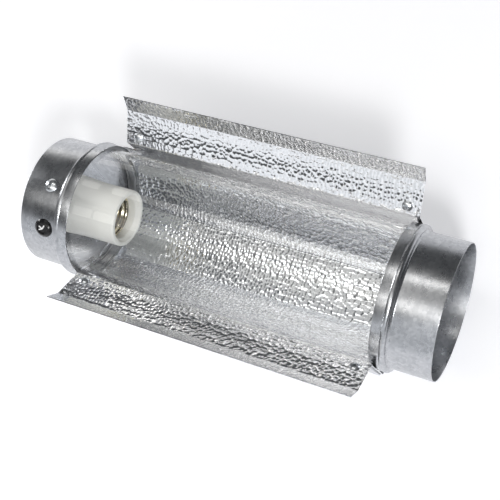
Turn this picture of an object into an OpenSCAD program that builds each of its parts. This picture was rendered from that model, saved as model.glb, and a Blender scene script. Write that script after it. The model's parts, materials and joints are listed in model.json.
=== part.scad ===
/* [Duct] */
// Outside diameter of the two duct spigots
spigot_d = 124; // [123:0.5:125]
// Overall length from mouth to mouth
overall_l = 406; // [400:1:420]
// Distance between the facing edges of the two collars
collar_gap = 299; // [293:1:305]
// Thickness of the galvanised duct sheet
duct_t = 0.8; // [0.6:0.1:0.9]

/* [Glass tube] */
// Outside diameter of the glass tube
glass_d = 125; // [124:0.5:126]
// Wall thickness of the glass tube
glass_t = 2.5; // [2:0.1:3]
// How far the glass goes into each collar
glass_in = 8; // [6:0.5:9]

/* [Reflector] */
// Distance from the tube's axis to the flat faces of the trough
trough_r = 66.4; // [66.3:0.1:67]
// Thickness of the hammered aluminium sheet
sheet_t = 0.8; // [0.5:0.1:1]
// Width of each wing between its two bends
wing_w = 33.3; // [30:0.1:40]
// Slope of each wing above the horizontal
wing_angle = 39.3; // [36:0.1:42]
// Width of each turned lip
lip_w = 17.2; // [12:0.1:22]
// Slope of each lip above the horizontal
lip_angle = 67.5; // [60:0.5:75]
// Start of the wings, measured along the tube
wing_x0 = -138; // [-140:1:-137]
// Common end of the wings and the trough
wing_x1 = 155; // [154:1:156]
// Start of the trough, just under the inlet collar
trough_x0 = -152; // [-153:1:-150]

/* [Mounting straps] */
// Centre of the inlet strap along the tube
inlet_strap_x = -125.5; // [-127:0.5:-124]
// Centre of the outlet strap along the tube
outlet_strap_x = 142.5; // [141:0.5:144]
// Width of a strap
strap_w = 20; // [18:1:22]
// Thickness of a strap
strap_t = 1.5; // [1.2:0.1:1.6]
// Depth of the feet below the strap's middle
foot_drop = 5.25; // [5:0.05:7]
// Distance of a corner screw from the inner bend of its wing
corner_screw_s = 7.6; // [7:0.1:9]

/* [Hanging rings] */
// Diameter of the ring wire
ring_wire = 3; // [2.8:0.1:3]
// Width of a ring, between wire centres
ring_w = 24; // [23:0.5:24]
// Length of a ring, between wire centres
ring_l = 20; // [18:0.5:20]
// Swing of a ring from the position folded in under the reflector
ring_angle = 0; // [0:5:180]

/* [Lampholder] */
// Outside diameter of the porcelain body
holder_d = 55.8; // [54:0.1:56]
// Length of the porcelain body
holder_l = 68; // [66:0.5:70]
// Position of the porcelain rim along the tube
holder_x = -122; // [-124:0.5:-121]
// Diameter of the entry bore for the lamp cap
entry_d = 42; // [41.8:0.1:42.2]
// Depth of the threaded shell's edge behind the rim
shell_depth = 12.5; // [10:0.5:14]
// Pitch of the lamp thread
thread_pitch = 6.35; // [6:0.05:6.5]
// How far the centre contact is pressed in
contact_press = 0; // [0:0.1:2.5]

/* [Inlet spigot fittings] */
// Position of the bracket screws and the grommet along the tube
fitting_x = -177.1; // [-178:0.1:-176]
// Angle of the grommet from the upper side
grommet_angle = 128.6; // [125:0.1:140]
// Outside diameter of the cable grommet
grommet_d = 18.2; // [17:0.1:19]

/* [Hidden] */

// Smoothness of round faces
round_fn = 96;
// Steps in the arc of a bend
arc_steps = 5;
// Gap between faces that are fastened together
seat = 0.05;
// Extra length of a cut, so that it runs clear of the faces it goes through
over = 1;

// Duct: collar, bead and spigot, as radii of the outer face
spigot_r = spigot_d / 2;
collar_x = collar_gap / 2;
mouth_x = overall_l / 2;
collar_edge_r = spigot_r + 4.1;
collar_root_r = spigot_r + 4.35;
bead_x = collar_x + 11;
tie_x = bead_x + 1;
bead_arc_r = 3.2;
bead_crest_r = spigot_r + 5.05;
bead_centre_r = bead_crest_r - bead_arc_r;
neck_arc_r = 1.6;
neck_x = bead_x + 5.5;
glass_r = glass_d / 2;
glass_x = collar_x + glass_in;

// Height of the tube's axis above the feet
axis_h = trough_r + sheet_t + seat + foot_drop + strap_t;

// Reflector outline from the bottom corner up to the tip, on its inner face
side_h = trough_r * tan(22.5);
wing_dir = [cos(wing_angle), sin(wing_angle)];
wing_out = [sin(wing_angle), -cos(wing_angle)];
bend_pt = [trough_r, side_h];
fold_pt = bend_pt + wing_w * wing_dir;
tip_pt = fold_pt + lip_w * [cos(lip_angle), sin(lip_angle)];
half_outline = [[side_h, -trough_r], [trough_r, -side_h], bend_pt, fold_pt, tip_pt];
bend_r = 2.5;
relief_h = 6;

// Strap: faces measured from the reflector's inner face
strap_in = sheet_t + seat;
pad_half = 15;
strap_bend_r = 2.2;
foot_slope_w = 3.5;
pad_z = -(trough_r + strap_in);
foot_z = pad_z - foot_drop;
strap_tip_s = corner_screw_s + 8;
tongue_half = 9;
tongue_end = 6.5;

// Threads and heads: shank radius, head radius, head height
m4 = [2, 4.75, 2.2];
m5 = [2.5, 6.3, 2.9];
m4_hole_r = 2.2;
m5_hole_r = 2.7;
m4_nut = [7, 3.2];
m5_nut = [8, 4];
nut_slack = 0.05;
corner_pt = bend_pt + corner_screw_s * wing_dir;

// Ring and clip
ring_r = ring_wire / 2;
clip_t = 1;
clip_bore_r = ring_r + 0.1;
clip_r = clip_bore_r + 1.05;
clip_half = 5;
clip_gap = 0.5;
clip_l = 12;
ring_z = axis_h + pad_z - strap_t - seat - 1.8;
ring_near_r = 4;
ring_far_r = 9;
rivet_r = 1.55;
rivet_y = 4.5;

// Lampholder, measured along the tube
holder_r = holder_d / 2;
holder_back_x = holder_x - holder_l;
entry_r = entry_d / 2;
cavity_r = entry_r + 0.4;
mouth_r = 23.4;
funnel_l = 5;
shell_x = holder_x - shell_depth;
floor_x = holder_x - 46;
recess_x = holder_back_x + 7;
recess_r = 20;
shell_r = 20.7;
shell_t = 0.4;
thread_depth = 1.5;
thread_turns = 5;
well_r = 5.4;
well_l = 8;
stem_r = 2.4;
stem_hole_r = 2.45;
contact_travel = 2.5;
web_x = holder_back_x - seat;
bracket_t = 1.5;
bracket_half = 9;
leg_z = spigot_r - duct_t - 0.7;
leg_tip_x = fitting_x + 8;
holder_screw_z = 24;
terminal_y = 15;

// Grommet
grommet_neck_r = 6.45;
grommet_hole_r = 6.5;
earth_angle = 300;

// Left normal of the step from a to b
function left_of(a, b) = let (d = b - a) [-d[1], d[0]] / norm(d);

// Corner i of outline p after the outline moves t to its left
function corner(p, i, t) =
    i == 0 ? p[0] + t * left_of(p[0], p[1])
    : i == len(p) - 1 ? p[i] + t * left_of(p[i - 1], p[i])
    : let (a = left_of(p[i - 1], p[i]), b = left_of(p[i], p[i + 1])) p[i] + t * (a + b) / (1 + a * b);

// Outline p moved t to its left
function moved(p, t) = [for (i = [0:len(p) - 1]) corner(p, i, t)];

// Points in reverse order
function reversed(p) = [for (i = [len(p) - 1:-1:0]) p[i]];

// Outline mirrored across the middle and joined to itself
function both_sides(p) = concat([for (q = reversed(p)) [-q[0], q[1]]], p);

// Arc points about c, from angle a0 to a1
function arc(c, r, a0, a1, steps) =
    [for (i = [0:steps]) let (a = a0 + (a1 - a0) * i / steps) c + r * [cos(a), sin(a)]];

// Arc that rounds the corner b between a and c with radius r
function bend(a, b, c, r) =
    let (u = (a - b) / norm(a - b), v = (c - b) / norm(c - b), half = acos(u * v) / 2,
        m = (u + v) / norm(u + v), o = b + m * r / sin(half),
        a0 = atan2(-(m[1]), -(m[0])), side = sign(u[0] * v[1] - u[1] * v[0]))
    arc(o, r, a0 + side * (90 - half), a0 - side * (90 - half), arc_steps);

// Outline p with every inner corner rounded
function rounded(p, r) = concat([p[0]], [for (i = [1:len(p) - 2]) each bend(p[i - 1], p[i], p[i + 1], r)],
    [p[len(p) - 1]]);

// Sheet between two moved copies of outline p
function sheet(p, t0, t1) = concat(moved(p, t0), reversed(moved(p, t1)));

// Shape turned about the tube's axis from [radius, x] points
module turned(points) {
    translate([0, 0, axis_h]) rotate([0, 90, 0]) rotate_extrude($fn = round_fn) polygon(points);
}

// Round bar along the tube's axis from x0 to x1
module bar(r, x0, x1) {
    translate([x0, 0, axis_h]) rotate([0, 90, 0]) cylinder(r = r, h = x1 - x0, $fn = round_fn);
}

// Cross-section in Y and Z, drawn about the tube's axis, pulled from x0 to x1
module pulled(points, x0, x1) {
    translate([x1, 0, axis_h]) rotate([90, 0, -90]) mirror([1, 0, 0])
        linear_extrude(height = x1 - x0) polygon(points);
}

// Places children on the spigot wall, with +Z pointing outward
module on_wall(x, angle) {
    translate([x, 0, axis_h]) rotate([angle, 0, 0]) rotate([-90, 0, 0]) children();
}

// Places children at a corner screw, with +Z pointing out of the wing's inner face
module at_corners() {
    for (x = [inlet_strap_x, outlet_strap_x], side = [0, 1])
        mirror([0, side, 0]) translate([x, corner_pt[0], axis_h + corner_pt[1]])
            rotate([wing_angle, 0, 0]) children();
}

// Screw with a low domed head on Z = 0 and a cross recess
module dome_screw(size, shank_l) {
    r = size[1];
    h = size[2];
    edge = 0.5;
    dome_r = (r * r + (h - edge) * (h - edge)) / (2 * (h - edge));
    difference() {
        intersection() {
            translate([0, 0, h - dome_r]) sphere(r = dome_r, $fn = 64);
            cylinder(r = r, h = h, $fn = 64);
        }
        for (a = [0, 90])
            rotate([0, 0, a]) translate([-r * 0.5, -r * 0.1, h * 0.4]) cube([r, r * 0.2, h]);
    }
    translate([0, 0, -shank_l]) cylinder(r = size[0], h = shank_l + 0.2, $fn = 48);
}

// Hexagon nut below Z = 0
module nut(size, hole_r) {
    translate([0, 0, -size[1]]) difference() {
        cylinder(d = size[0] / cos(30), h = size[1], $fn = 6);
        translate([0, 0, -over]) cylinder(r = hole_r, h = size[1] + 2 * over, $fn = 48);
    }
}

// One face of the outlet duct, duct_in inside the outer face, as [radius, x] points
function duct_face(duct_in) =
    let (bead = arc([bead_x, bead_centre_r], bead_arc_r - duct_in, 129, -8, 10),
        neck = arc([neck_x, spigot_r + neck_arc_r], neck_arc_r + duct_in, 205, 270, 5))
    [for (p = concat([[collar_x, collar_edge_r - duct_in], [bead_x - 3, collar_root_r - duct_in]],
        bead, neck, [[mouth_x, spigot_r - duct_in]])) [p[1], p[0]]];

module duct_shell() {
    turned(concat(duct_face(0), reversed(duct_face(duct_t))));
}

// Hole for the screw that ties the strap's tongue to the bead
module collar_screw_hole(x) {
    translate([x, 0, axis_h - spigot_r - 8]) cylinder(r = m4_hole_r, h = 12, $fn = 48);
}

module inlet_flange() {
    color("silver") difference() {
        mirror([1, 0, 0]) duct_shell();
        for (angle = [90, 270]) on_wall(fitting_x, angle) cylinder(r = m5_hole_r, h = 70, $fn = 48);
        on_wall(fitting_x, grommet_angle) cylinder(r = grommet_hole_r, h = 70, $fn = 64);
        on_wall(fitting_x, earth_angle) cylinder(r = m4_hole_r, h = 70, $fn = 48);
        collar_screw_hole(-tie_x);
    }
}

module outlet_flange() {
    color("silver") difference() {
        duct_shell();
        collar_screw_hole(tie_x);
    }
}

module glass_tube() {
    color([0.85, 0.9, 0.95, 0.35]) difference() {
        bar(glass_r, -glass_x, glass_x);
        bar(glass_r - glass_t, -glass_x - over, glass_x + over);
    }
}

// Silicone ring between glass and collar with a lip behind the end of the glass
module seal() {
    lip_r = glass_r - 3;
    ring_x = collar_x + 1.5;
    outer_r = collar_edge_r - duct_t - seat;
    turned([[glass_r + seat, ring_x], [outer_r, ring_x], [outer_r, glass_x + 1.6],
        [lip_r, glass_x + 1.6], [lip_r, glass_x + seat], [glass_r + seat, glass_x + seat]]);
}

module inlet_seal() {
    color("gainsboro") mirror([1, 0, 0]) seal();
}

module outlet_seal() {
    color("gainsboro") seal();
}

module reflector() {
    outline = rounded(both_sides(half_outline), bend_r);
    color("lightgray") difference() {
        pulled(sheet(outline, 0, -sheet_t), trough_x0, wing_x1);
        for (side = [0, 1]) mirror([0, side, 0])
            translate([trough_x0 - over, trough_r - 6, axis_h + relief_h])
                cube([wing_x0 - trough_x0 + over, 60, 60]);
        at_corners() translate([0, 0, -4]) cylinder(r = m4_hole_r, h = 8, $fn = 48);
    }
}

// Strap round the trough, with two feet, a tongue to the collar and a flange behind each wing
module strap(x, tongue_x) {
    diag_y = side_h + strap_in * tan(22.5);
    foot_y = diag_y - foot_drop;
    outer_bend = moved(both_sides(half_outline), -strap_in);
    top = outer_bend[7];
    low_side = outer_bend[6];
    half = [[pad_half, pad_z], [pad_half + foot_slope_w, foot_z], [foot_y, foot_z], low_side, top,
        top + (strap_tip_s - strap_in * tan((90 - wing_angle) / 2)) * wing_dir];
    outline = rounded(both_sides(half), strap_bend_r);
    dir = sign(tongue_x);
    difference() {
        union() {
            pulled(sheet(outline, 0, -strap_t), x - strap_w / 2, x + strap_w / 2);
            translate([min(x, tongue_x + dir * tongue_end), -tongue_half, axis_h + pad_z - strap_t])
                cube([abs(tongue_x - x) + tongue_end, 2 * tongue_half, strap_t]);
        }
        at_corners() translate([0, 0, -8]) cylinder(r = m4_hole_r, h = 12, $fn = 48);
        collar_screw_hole(tongue_x);
        for (y = [-rivet_y, rivet_y])
            translate([x - dir * (strap_w / 2 - 6), y, axis_h + pad_z - strap_t - over])
                cylinder(r = rivet_r + seat, h = strap_t + 2 * over, $fn = 32);
    }
}

module inlet_strap() {
    color("darkgray") strap(inlet_strap_x, -tie_x);
}

module outlet_strap() {
    color("darkgray") strap(outlet_strap_x, tie_x);
}

module corner_screws() {
    color("white") at_corners() translate([0, 0, seat]) dome_screw(m4, 8);
}

module corner_nuts() {
    color("gray") at_corners()
        translate([0, 0, -(strap_in + strap_t + seat)]) rotate([0, 0, 30]) nut(m4_nut, m4[0] + nut_slack);
}

module collar_screws() {
    color("white") for (x = [-tie_x, tie_x])
        translate([x, 0, axis_h + pad_z - strap_t - seat]) rotate([180, 0, 0]) dome_screw(m4, 6);
}

// Hinge line of a ring: just past the strap's inner edge
function ring_x(strap_x) = strap_x - sign(strap_x) * (strap_w / 2 + clip_gap + clip_r);

// Quarter of a wire ring about Z, starting at angle a
module quarter(r, a) {
    rotate([0, 0, a]) rotate_extrude(angle = 90, $fn = 64) translate([r, 0]) circle(r = ring_r, $fn = 32);
}

// Straight wire from p to q in the plane of the ring
module wire(p, q) {
    d = q - p;
    translate([p[0], p[1], 0]) rotate([0, 0, atan2(d[1], d[0])]) rotate([0, 90, 0])
        cylinder(r = ring_r, h = norm(d), $fn = 32);
}

// Ring in its own plane, hinged on the Y axis and reaching along +X
module hanging_ring() {
    half = ring_w / 2;
    for (side = [0, 1]) mirror([0, side, 0]) {
        translate([ring_near_r, half - ring_near_r, 0]) quarter(ring_near_r, 90);
        translate([ring_l - ring_far_r, half - ring_far_r, 0]) quarter(ring_far_r, 0);
        wire([ring_near_r, half], [ring_l - ring_far_r, half]);
    }
    wire([0, -half + ring_near_r], [0, half - ring_near_r]);
    wire([ring_l, -half + ring_far_r], [ring_l, half - ring_far_r]);
}

module placed_ring(strap_x) {
    translate([ring_x(strap_x), 0, ring_z]) mirror([strap_x > 0 ? 1 : 0, 0, 0])
        rotate([0, ring_angle, 0]) hanging_ring();
}

module inlet_ring() {
    color("slategray") placed_ring(inlet_strap_x);
}

module outlet_ring() {
    color("slategray") placed_ring(outlet_strap_x);
}

// Clip: a plate under the strap that curls round the ring's straight side
module clip(strap_x) {
    top_z = axis_h + pad_z - strap_t - seat;
    reach = clip_l + clip_gap + clip_r;
    translate([ring_x(strap_x), 0, 0]) mirror([strap_x > 0 ? 1 : 0, 0, 0]) difference() {
        union() {
            translate([-reach, -clip_half - 3, top_z - clip_t]) cube([clip_l, 2 * clip_half + 6, clip_t]);
            translate([-reach, -clip_half, top_z - clip_t]) cube([reach, 2 * clip_half, clip_t]);
            translate([0, clip_half, ring_z]) rotate([90, 0, 0])
                cylinder(r = clip_r, h = 2 * clip_half, $fn = 48);
        }
        translate([0, clip_half + over, ring_z]) rotate([90, 0, 0])
            cylinder(r = clip_bore_r, h = 2 * (clip_half + over), $fn = 48);
        for (y = [-rivet_y, rivet_y])
            translate([-(clip_gap + clip_r + 6), y, top_z - clip_t - over])
                cylinder(r = rivet_r + seat, h = clip_t + 2 * over, $fn = 32);
    }
}

module ring_clips() {
    color("gray") for (x = [inlet_strap_x, outlet_strap_x]) clip(x);
}

module clip_rivets() {
    head_r = 2.9;
    head_h = 1.2;
    top_z = axis_h + pad_z - seat;
    low_z = axis_h + pad_z - strap_t - clip_t - 2 * seat;
    dome_r = (head_r * head_r + head_h * head_h) / (2 * head_h);
    color("white") for (x = [inlet_strap_x, outlet_strap_x], y = [-rivet_y, rivet_y])
        translate([x - sign(x) * (strap_w / 2 - 6), y, low_z]) {
            cylinder(r = rivet_r, h = top_z - low_z, $fn = 32);
            intersection() {
                translate([0, 0, dome_r - head_h]) sphere(r = dome_r, $fn = 48);
                translate([0, 0, -head_h]) cylinder(r = head_r, h = head_h, $fn = 48);
            }
        }
}

module lampholder_body() {
    rim_r = 1.8;
    foot_r = holder_r - 1.5;
    outer = concat([[0, holder_back_x], [foot_r, holder_back_x], [foot_r, holder_back_x + 9],
        [holder_r, holder_back_x + 10]],
        arc([holder_r - rim_r, holder_x - rim_r], rim_r, 0, 90, 5),
        arc([mouth_r + 1.2, holder_x - 1.2], 1.2, 90, 180, 4));
    cavity_x = shell_x + 0.3;
    inner = [[entry_r, holder_x - funnel_l], [entry_r, cavity_x], [cavity_r, cavity_x],
        [cavity_r, floor_x], [0, floor_x]];
    color("ivory") difference() {
        turned(concat(outer, inner));
        bar(well_r, floor_x - well_l, floor_x + over);
        bar(stem_hole_r, recess_x - over, floor_x);
        bar(recess_r, holder_back_x - over, recess_x);
        for (z = [-holder_screw_z, holder_screw_z])
            translate([0, 0, z]) bar(m4[0] + seat, holder_back_x - over, holder_back_x + 12);
        translate([0, -terminal_y, 0]) bar(1.75, recess_x - over, floor_x + over);
        for (side = [-1, 1]) translate([holder_back_x - over, side * 24 - 5, axis_h - 4])
            cube([5 + over, 10, 8]);
    }
}

// Thin shell whose wall follows the lamp thread's wave
module screw_shell() {
    steps = 10;
    wave_l = thread_pitch * thread_turns;
    wave_x0 = shell_x - 0.8;
    wall = [for (i = [0:steps * thread_turns]) let (s = i / steps)
        [shell_r - thread_depth * (1 - cos(360 * s)) / 2, wave_x0 - s * thread_pitch]];
    flange_x = floor_x + 0.45;
    outer = concat([[shell_r, shell_x]], wall, [[shell_r - 1, wave_x0 - wave_l - 0.4],
        [shell_r - 1, flange_x - shell_t], [well_r + 2.6, flange_x - shell_t]]);
    color("khaki") turned(concat(outer, reversed([for (p = outer)
        p[1] < flange_x ? [min(p[0], shell_r - 1 - shell_t), flange_x] : [p[0] - shell_t, p[1]]])));
}

// Sprung plunger: domed head, stem through the porcelain and a retaining collar behind it
module centre_contact() {
    head_x = floor_x + 3.5;
    head_r = 6.5;
    head_l = 4.5;
    dome_r = 14;
    tail_x = recess_x - 3.2;
    clip = [4.2, recess_x - 2, recess_x - 0.3];
    dome_c = [0, head_x + head_l - dome_r];
    dome = arc(dome_c, dome_r, acos(head_r / dome_r), 80, arc_steps);
    color("goldenrod") translate([-contact_press, 0, 0])
        turned(concat([[0, tail_x], [stem_r, tail_x], [stem_r, clip[1]], [clip[0], clip[1]], [clip[0], clip[2]],
            [stem_r, clip[2]], [stem_r, head_x], [head_r, head_x]], dome, [[0, head_x + head_l]]));
}

// Spring drawn at its pressed length, as a plain sleeve
module contact_spring() {
    color("gray") difference() {
        bar(4.6, floor_x - well_l + seat, floor_x + 0.8);
        bar(3.5, floor_x - well_l - over, floor_x + over);
    }
}

// Brass block with a wire hole and a tapped hole
module terminal_block(y) {
    block = [6.2, 8, 12];
    wire_r = 1.6;
    difference() {
        translate([recess_x - block[0] - seat, y - block[1] / 2, axis_h - block[2] / 2]) cube(block);
        translate([recess_x - 3.4, y, axis_h - block[2]]) cylinder(r = wire_r, h = 2 * block[2], $fn = 32);
        translate([recess_x - block[0] - over, y, axis_h]) rotate([0, 90, 0])
            cylinder(r = 1.55, h = 3.4, $fn = 32);
    }
}

module live_terminal() {
    color("gold") terminal_block(terminal_y);
}

module neutral_terminal() {
    color("gold") {
        terminal_block(-terminal_y);
        translate([0, -terminal_y, 0]) bar(1.65, recess_x - 1, floor_x - seat);
    }
}

module terminal_screws() {
    color("white") for (y = [-terminal_y, terminal_y])
        translate([recess_x - 6.2 - 2 * seat, y, axis_h]) rotate([0, -90, 0]) difference() {
            union() {
                cylinder(r = 2.4, h = 1.2, $fn = 32);
                translate([0, 0, -2.6]) cylinder(r = 1.5, h = 2.7, $fn = 32);
            }
            translate([-3, -0.3, 0.6]) cube([6, 0.6, over]);
        }
}

module holder_bracket() {
    width = 2 * bracket_half;
    color("darkgray") difference() {
        union() {
            translate([web_x - bracket_t, -bracket_half, axis_h - leg_z]) cube([bracket_t, width, 2 * leg_z]);
            for (z = [-leg_z, leg_z - bracket_t])
                translate([web_x - bracket_t, -bracket_half, axis_h + z])
                    cube([leg_tip_x - web_x + bracket_t, width, bracket_t]);
        }
        for (angle = [90, 270]) on_wall(fitting_x, angle) cylinder(r = m5_hole_r, h = 70, $fn = 48);
        for (z = [-holder_screw_z, holder_screw_z])
            translate([0, 0, z]) bar(m4_hole_r, web_x - bracket_t - over, web_x + over);
        bar(6, web_x - bracket_t - over, web_x + over);
    }
}

module holder_screws() {
    color("white") for (z = [-holder_screw_z, holder_screw_z])
        translate([web_x - bracket_t - seat, 0, axis_h + z]) rotate([0, -90, 0]) dome_screw(m4, 12);
}

module bracket_screws() {
    color("white") for (angle = [90, 270]) on_wall(fitting_x, angle)
        translate([0, 0, spigot_r + seat]) dome_screw(m5, 9);
}

module bracket_nuts() {
    color("gray") for (angle = [90, 270]) on_wall(fitting_x, angle)
        translate([0, 0, leg_z - bracket_t - seat]) nut(m5_nut, m5[0] + nut_slack);
}

module cable_grommet() {
    r = grommet_d / 2;
    top_h = 3.2;
    edge = 1.2;
    dome_r = (r * r + (top_h - edge) * (top_h - edge)) / (2 * (top_h - edge));
    color([0.1, 0.1, 0.1]) difference() {
        on_wall(fitting_x, grommet_angle) union() {
            intersection() {
                translate([0, 0, spigot_r + top_h - dome_r]) sphere(r = dome_r, $fn = 96);
                translate([0, 0, spigot_r - 0.7]) cylinder(r = r, h = top_h + 1, $fn = 96);
            }
            translate([0, 0, spigot_r - duct_t - 2.2]) cylinder(r = 8, h = 2.6, $fn = 64);
        }
        difference() {
            bar(spigot_r + seat, fitting_x - 12, fitting_x + 12);
            bar(spigot_r - duct_t - seat, fitting_x - 13, fitting_x + 13);
            on_wall(fitting_x, grommet_angle) cylinder(r = grommet_neck_r, h = 70, $fn = 64);
        }
    }
}

module earth_screw() {
    color("gold") on_wall(fitting_x, earth_angle) translate([0, 0, spigot_r + seat]) dome_screw(m4, 9);
}

module earth_nut() {
    color("gold") on_wall(fitting_x, earth_angle)
        translate([0, 0, spigot_r - duct_t - 0.3]) nut(m4_nut, m4[0] + nut_slack);
}

inlet_flange();
outlet_flange();
glass_tube();
inlet_seal();
outlet_seal();
reflector();
inlet_strap();
outlet_strap();
corner_screws();
corner_nuts();
collar_screws();
inlet_ring();
outlet_ring();
ring_clips();
clip_rivets();
lampholder_body();
screw_shell();
centre_contact();
contact_spring();
live_terminal();
neutral_terminal();
terminal_screws();
holder_bracket();
holder_screws();
bracket_screws();
bracket_nuts();
cable_grommet();
earth_screw();
earth_nut();
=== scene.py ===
import json
import math

import bmesh
import bpy
import numpy as np
from mathutils import Matrix, Vector


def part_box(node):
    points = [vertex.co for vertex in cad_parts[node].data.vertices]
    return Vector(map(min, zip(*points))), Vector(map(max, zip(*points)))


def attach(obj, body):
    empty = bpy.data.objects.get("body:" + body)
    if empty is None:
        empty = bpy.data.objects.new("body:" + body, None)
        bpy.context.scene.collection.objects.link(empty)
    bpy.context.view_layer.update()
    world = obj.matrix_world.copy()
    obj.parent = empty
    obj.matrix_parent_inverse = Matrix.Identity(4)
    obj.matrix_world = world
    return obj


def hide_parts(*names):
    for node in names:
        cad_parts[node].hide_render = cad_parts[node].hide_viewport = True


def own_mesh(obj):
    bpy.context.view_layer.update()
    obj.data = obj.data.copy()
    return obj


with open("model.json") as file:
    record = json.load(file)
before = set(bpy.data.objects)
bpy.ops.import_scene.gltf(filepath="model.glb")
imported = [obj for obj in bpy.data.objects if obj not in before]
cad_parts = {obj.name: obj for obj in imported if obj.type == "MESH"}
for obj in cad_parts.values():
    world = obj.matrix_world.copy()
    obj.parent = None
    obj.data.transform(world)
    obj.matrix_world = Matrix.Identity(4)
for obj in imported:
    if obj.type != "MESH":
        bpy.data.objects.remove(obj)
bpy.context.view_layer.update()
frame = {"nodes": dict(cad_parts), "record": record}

MM = 0.001
RECORD_MOUNTS = {m["name"]: m for m in frame["record"]["mounts"]}

# ---------------------------------------------------------------- sizes, from the frame
tube_low, tube_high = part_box("glass_tube")
AXIS = (tube_low.z + tube_high.z) / 2
TUBE_R = (tube_high.z - tube_low.z) / 2
TUBE_X = tube_high.x
GLASS_T = 2.5 * MM

SPIGOT_R = RECORD_MOUNTS["outlet_spigot"]["dims"]["r_mm"] * MM
MOUTH_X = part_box("outlet_flange")[1].x
COLLAR_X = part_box("outlet_flange")[0].x
BEAD_CREST_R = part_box("outlet_flange")[1].z - AXIS
DUCT_T = 0.8 * MM
TIE_X = COLLAR_X + 12 * MM

SHEET_T = 0.8 * MM
sheet_low, sheet_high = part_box("reflector")
TROUGH_R = AXIS - sheet_low.z - SHEET_T
SIDE_H = TROUGH_R * math.tan(math.pi / 8)
WING_W = 33.3 * MM
WING_ANGLE = math.radians(39.3)
LIP_W = 17.2 * MM
LIP_ANGLE = math.radians(67.5)
BEND_R = 2.5 * MM
WING_X0 = -138 * MM
RELIEF_Z = 6 * MM

STRAP_W = 20 * MM
STRAP_X = (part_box("inlet_strap")[1].x - STRAP_W / 2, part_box("outlet_strap")[0].x + STRAP_W / 2)
CORNER_SCREW_S = 7.6 * MM

holder_low, holder_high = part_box("lampholder_body")
HOLDER_R = (holder_high.z - holder_low.z) / 2
ENTRY_R = RECORD_MOUNTS["lamp_socket"]["dims"]["r_mm"] * MM
SHELL_X0, SHELL_X1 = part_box("screw_shell")[0].x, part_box("screw_shell")[1].x
SHELL_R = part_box("screw_shell")[1].z - AXIS
THREAD_PITCH = 6.35 * MM
CONTACT_HEAD_T = 4.5 * MM

grommet_low, grommet_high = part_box("cable_grommet")
FITTING_X = (grommet_low.x + grommet_high.x) / 2
GROMMET_R = (grommet_high.x - grommet_low.x) / 2
GROMMET_CROWN = 3.15 * MM
GROMMET_ANGLE = 128.6
SLIT_ANGLES = (62, 152, 205)
EARTH_ANGLE = 300

WHOLE_TURN = 2 * math.pi


# ---------------------------------------------------------------- materials
class Nodes:
    """Short forms for building one material's node tree."""

    def __init__(self, name):
        self.material = bpy.data.materials.new(name)
        self.material.use_nodes = True
        self.tree = self.material.node_tree
        self.bsdf = self.tree.nodes["Principled BSDF"]

    def add(self, kind, **settings):
        node = self.tree.nodes.new(kind)
        for key, value in settings.items():
            setattr(node, key, value)
        return node

    def link(self, source, target):
        self.tree.links.new(source, target)

    def coords(self, scale=(1, 1, 1), source="Object"):
        mapping = self.add("ShaderNodeMapping")
        mapping.inputs["Scale"].default_value = scale
        self.link(self.add("ShaderNodeTexCoord").outputs[source], mapping.inputs["Vector"])
        return mapping.outputs["Vector"]

    def pattern(self, scale):
        """Coordinates on the sheet's flat pattern: along the lamp, then across the sheet."""
        return self.coords(scale, "UV")

    def noise(self, scale, detail=3, stretch=(1, 1, 1)):
        node = self.add("ShaderNodeTexNoise")
        node.inputs["Scale"].default_value = scale
        node.inputs["Detail"].default_value = detail
        self.link(self.coords(stretch), node.inputs["Vector"])
        return node.outputs["Fac"]

    def cells(self, scale):
        node = self.add("ShaderNodeTexVoronoi")
        node.inputs["Scale"].default_value = scale
        self.link(self.coords(), node.inputs["Vector"])
        return node.outputs["Color"]

    def times(self, first, second):
        node = self.add("ShaderNodeMath", operation="MULTIPLY")
        self.link(first, node.inputs[0])
        self.link(second, node.inputs[1])
        return node.outputs["Value"]

    def ramp(self, value, low, high, start=0.3, end=0.7):
        node = self.add("ShaderNodeMapRange")
        node.inputs["From Min"].default_value = start
        node.inputs["From Max"].default_value = end
        node.inputs["To Min"].default_value = low
        node.inputs["To Max"].default_value = high
        self.link(value, node.inputs["Value"])
        return node.outputs["Result"]

    def blend(self, value, low, high):
        node = self.add("ShaderNodeMix", data_type="RGBA")
        node.inputs["A"].default_value = (*low, 1)
        node.inputs["B"].default_value = (*high, 1)
        self.link(value, node.inputs["Factor"])
        return node.outputs["Result"]

    def bump(self, height, strength, distance, below=None):
        node = self.add("ShaderNodeBump")
        node.inputs["Strength"].default_value = strength
        node.inputs["Distance"].default_value = distance
        self.link(height, node.inputs["Height"])
        if below is not None:
            self.link(below, node.inputs["Normal"])
        return node.outputs["Normal"]

    def shade(self, **values):
        for key, value in values.items():
            self.bsdf.inputs[key.replace("_", " ")].default_value = value


def galvanised():
    """Rolled zinc-coated sheet: a fine spangle, mill lines round the duct and a cloudy gloss."""
    n = Nodes("galvanised_sheet")
    spangle = n.ramp(n.cells(380), 0.0, 1.0, 0.1, 0.9)
    n.link(n.blend(spangle, (0.39, 0.40, 0.42), (0.51, 0.52, 0.54)), n.bsdf.inputs["Base Color"])
    cloud = n.ramp(n.noise(45, 4, (2, 1, 1)), 0.24, 0.32)
    n.link(cloud, n.bsdf.inputs["Roughness"])
    lines = n.bump(n.noise(1500, 2, (1, 0.05, 0.05)), 0.12, 0.0001)
    grain = n.bump(n.noise(700, 3), 0.10, 0.0002, lines)
    n.link(n.bump(n.noise(30, 2), 0.06, 0.0003, grain), n.bsdf.inputs["Normal"])
    n.shade(Metallic=1.0)
    return n.material


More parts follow.
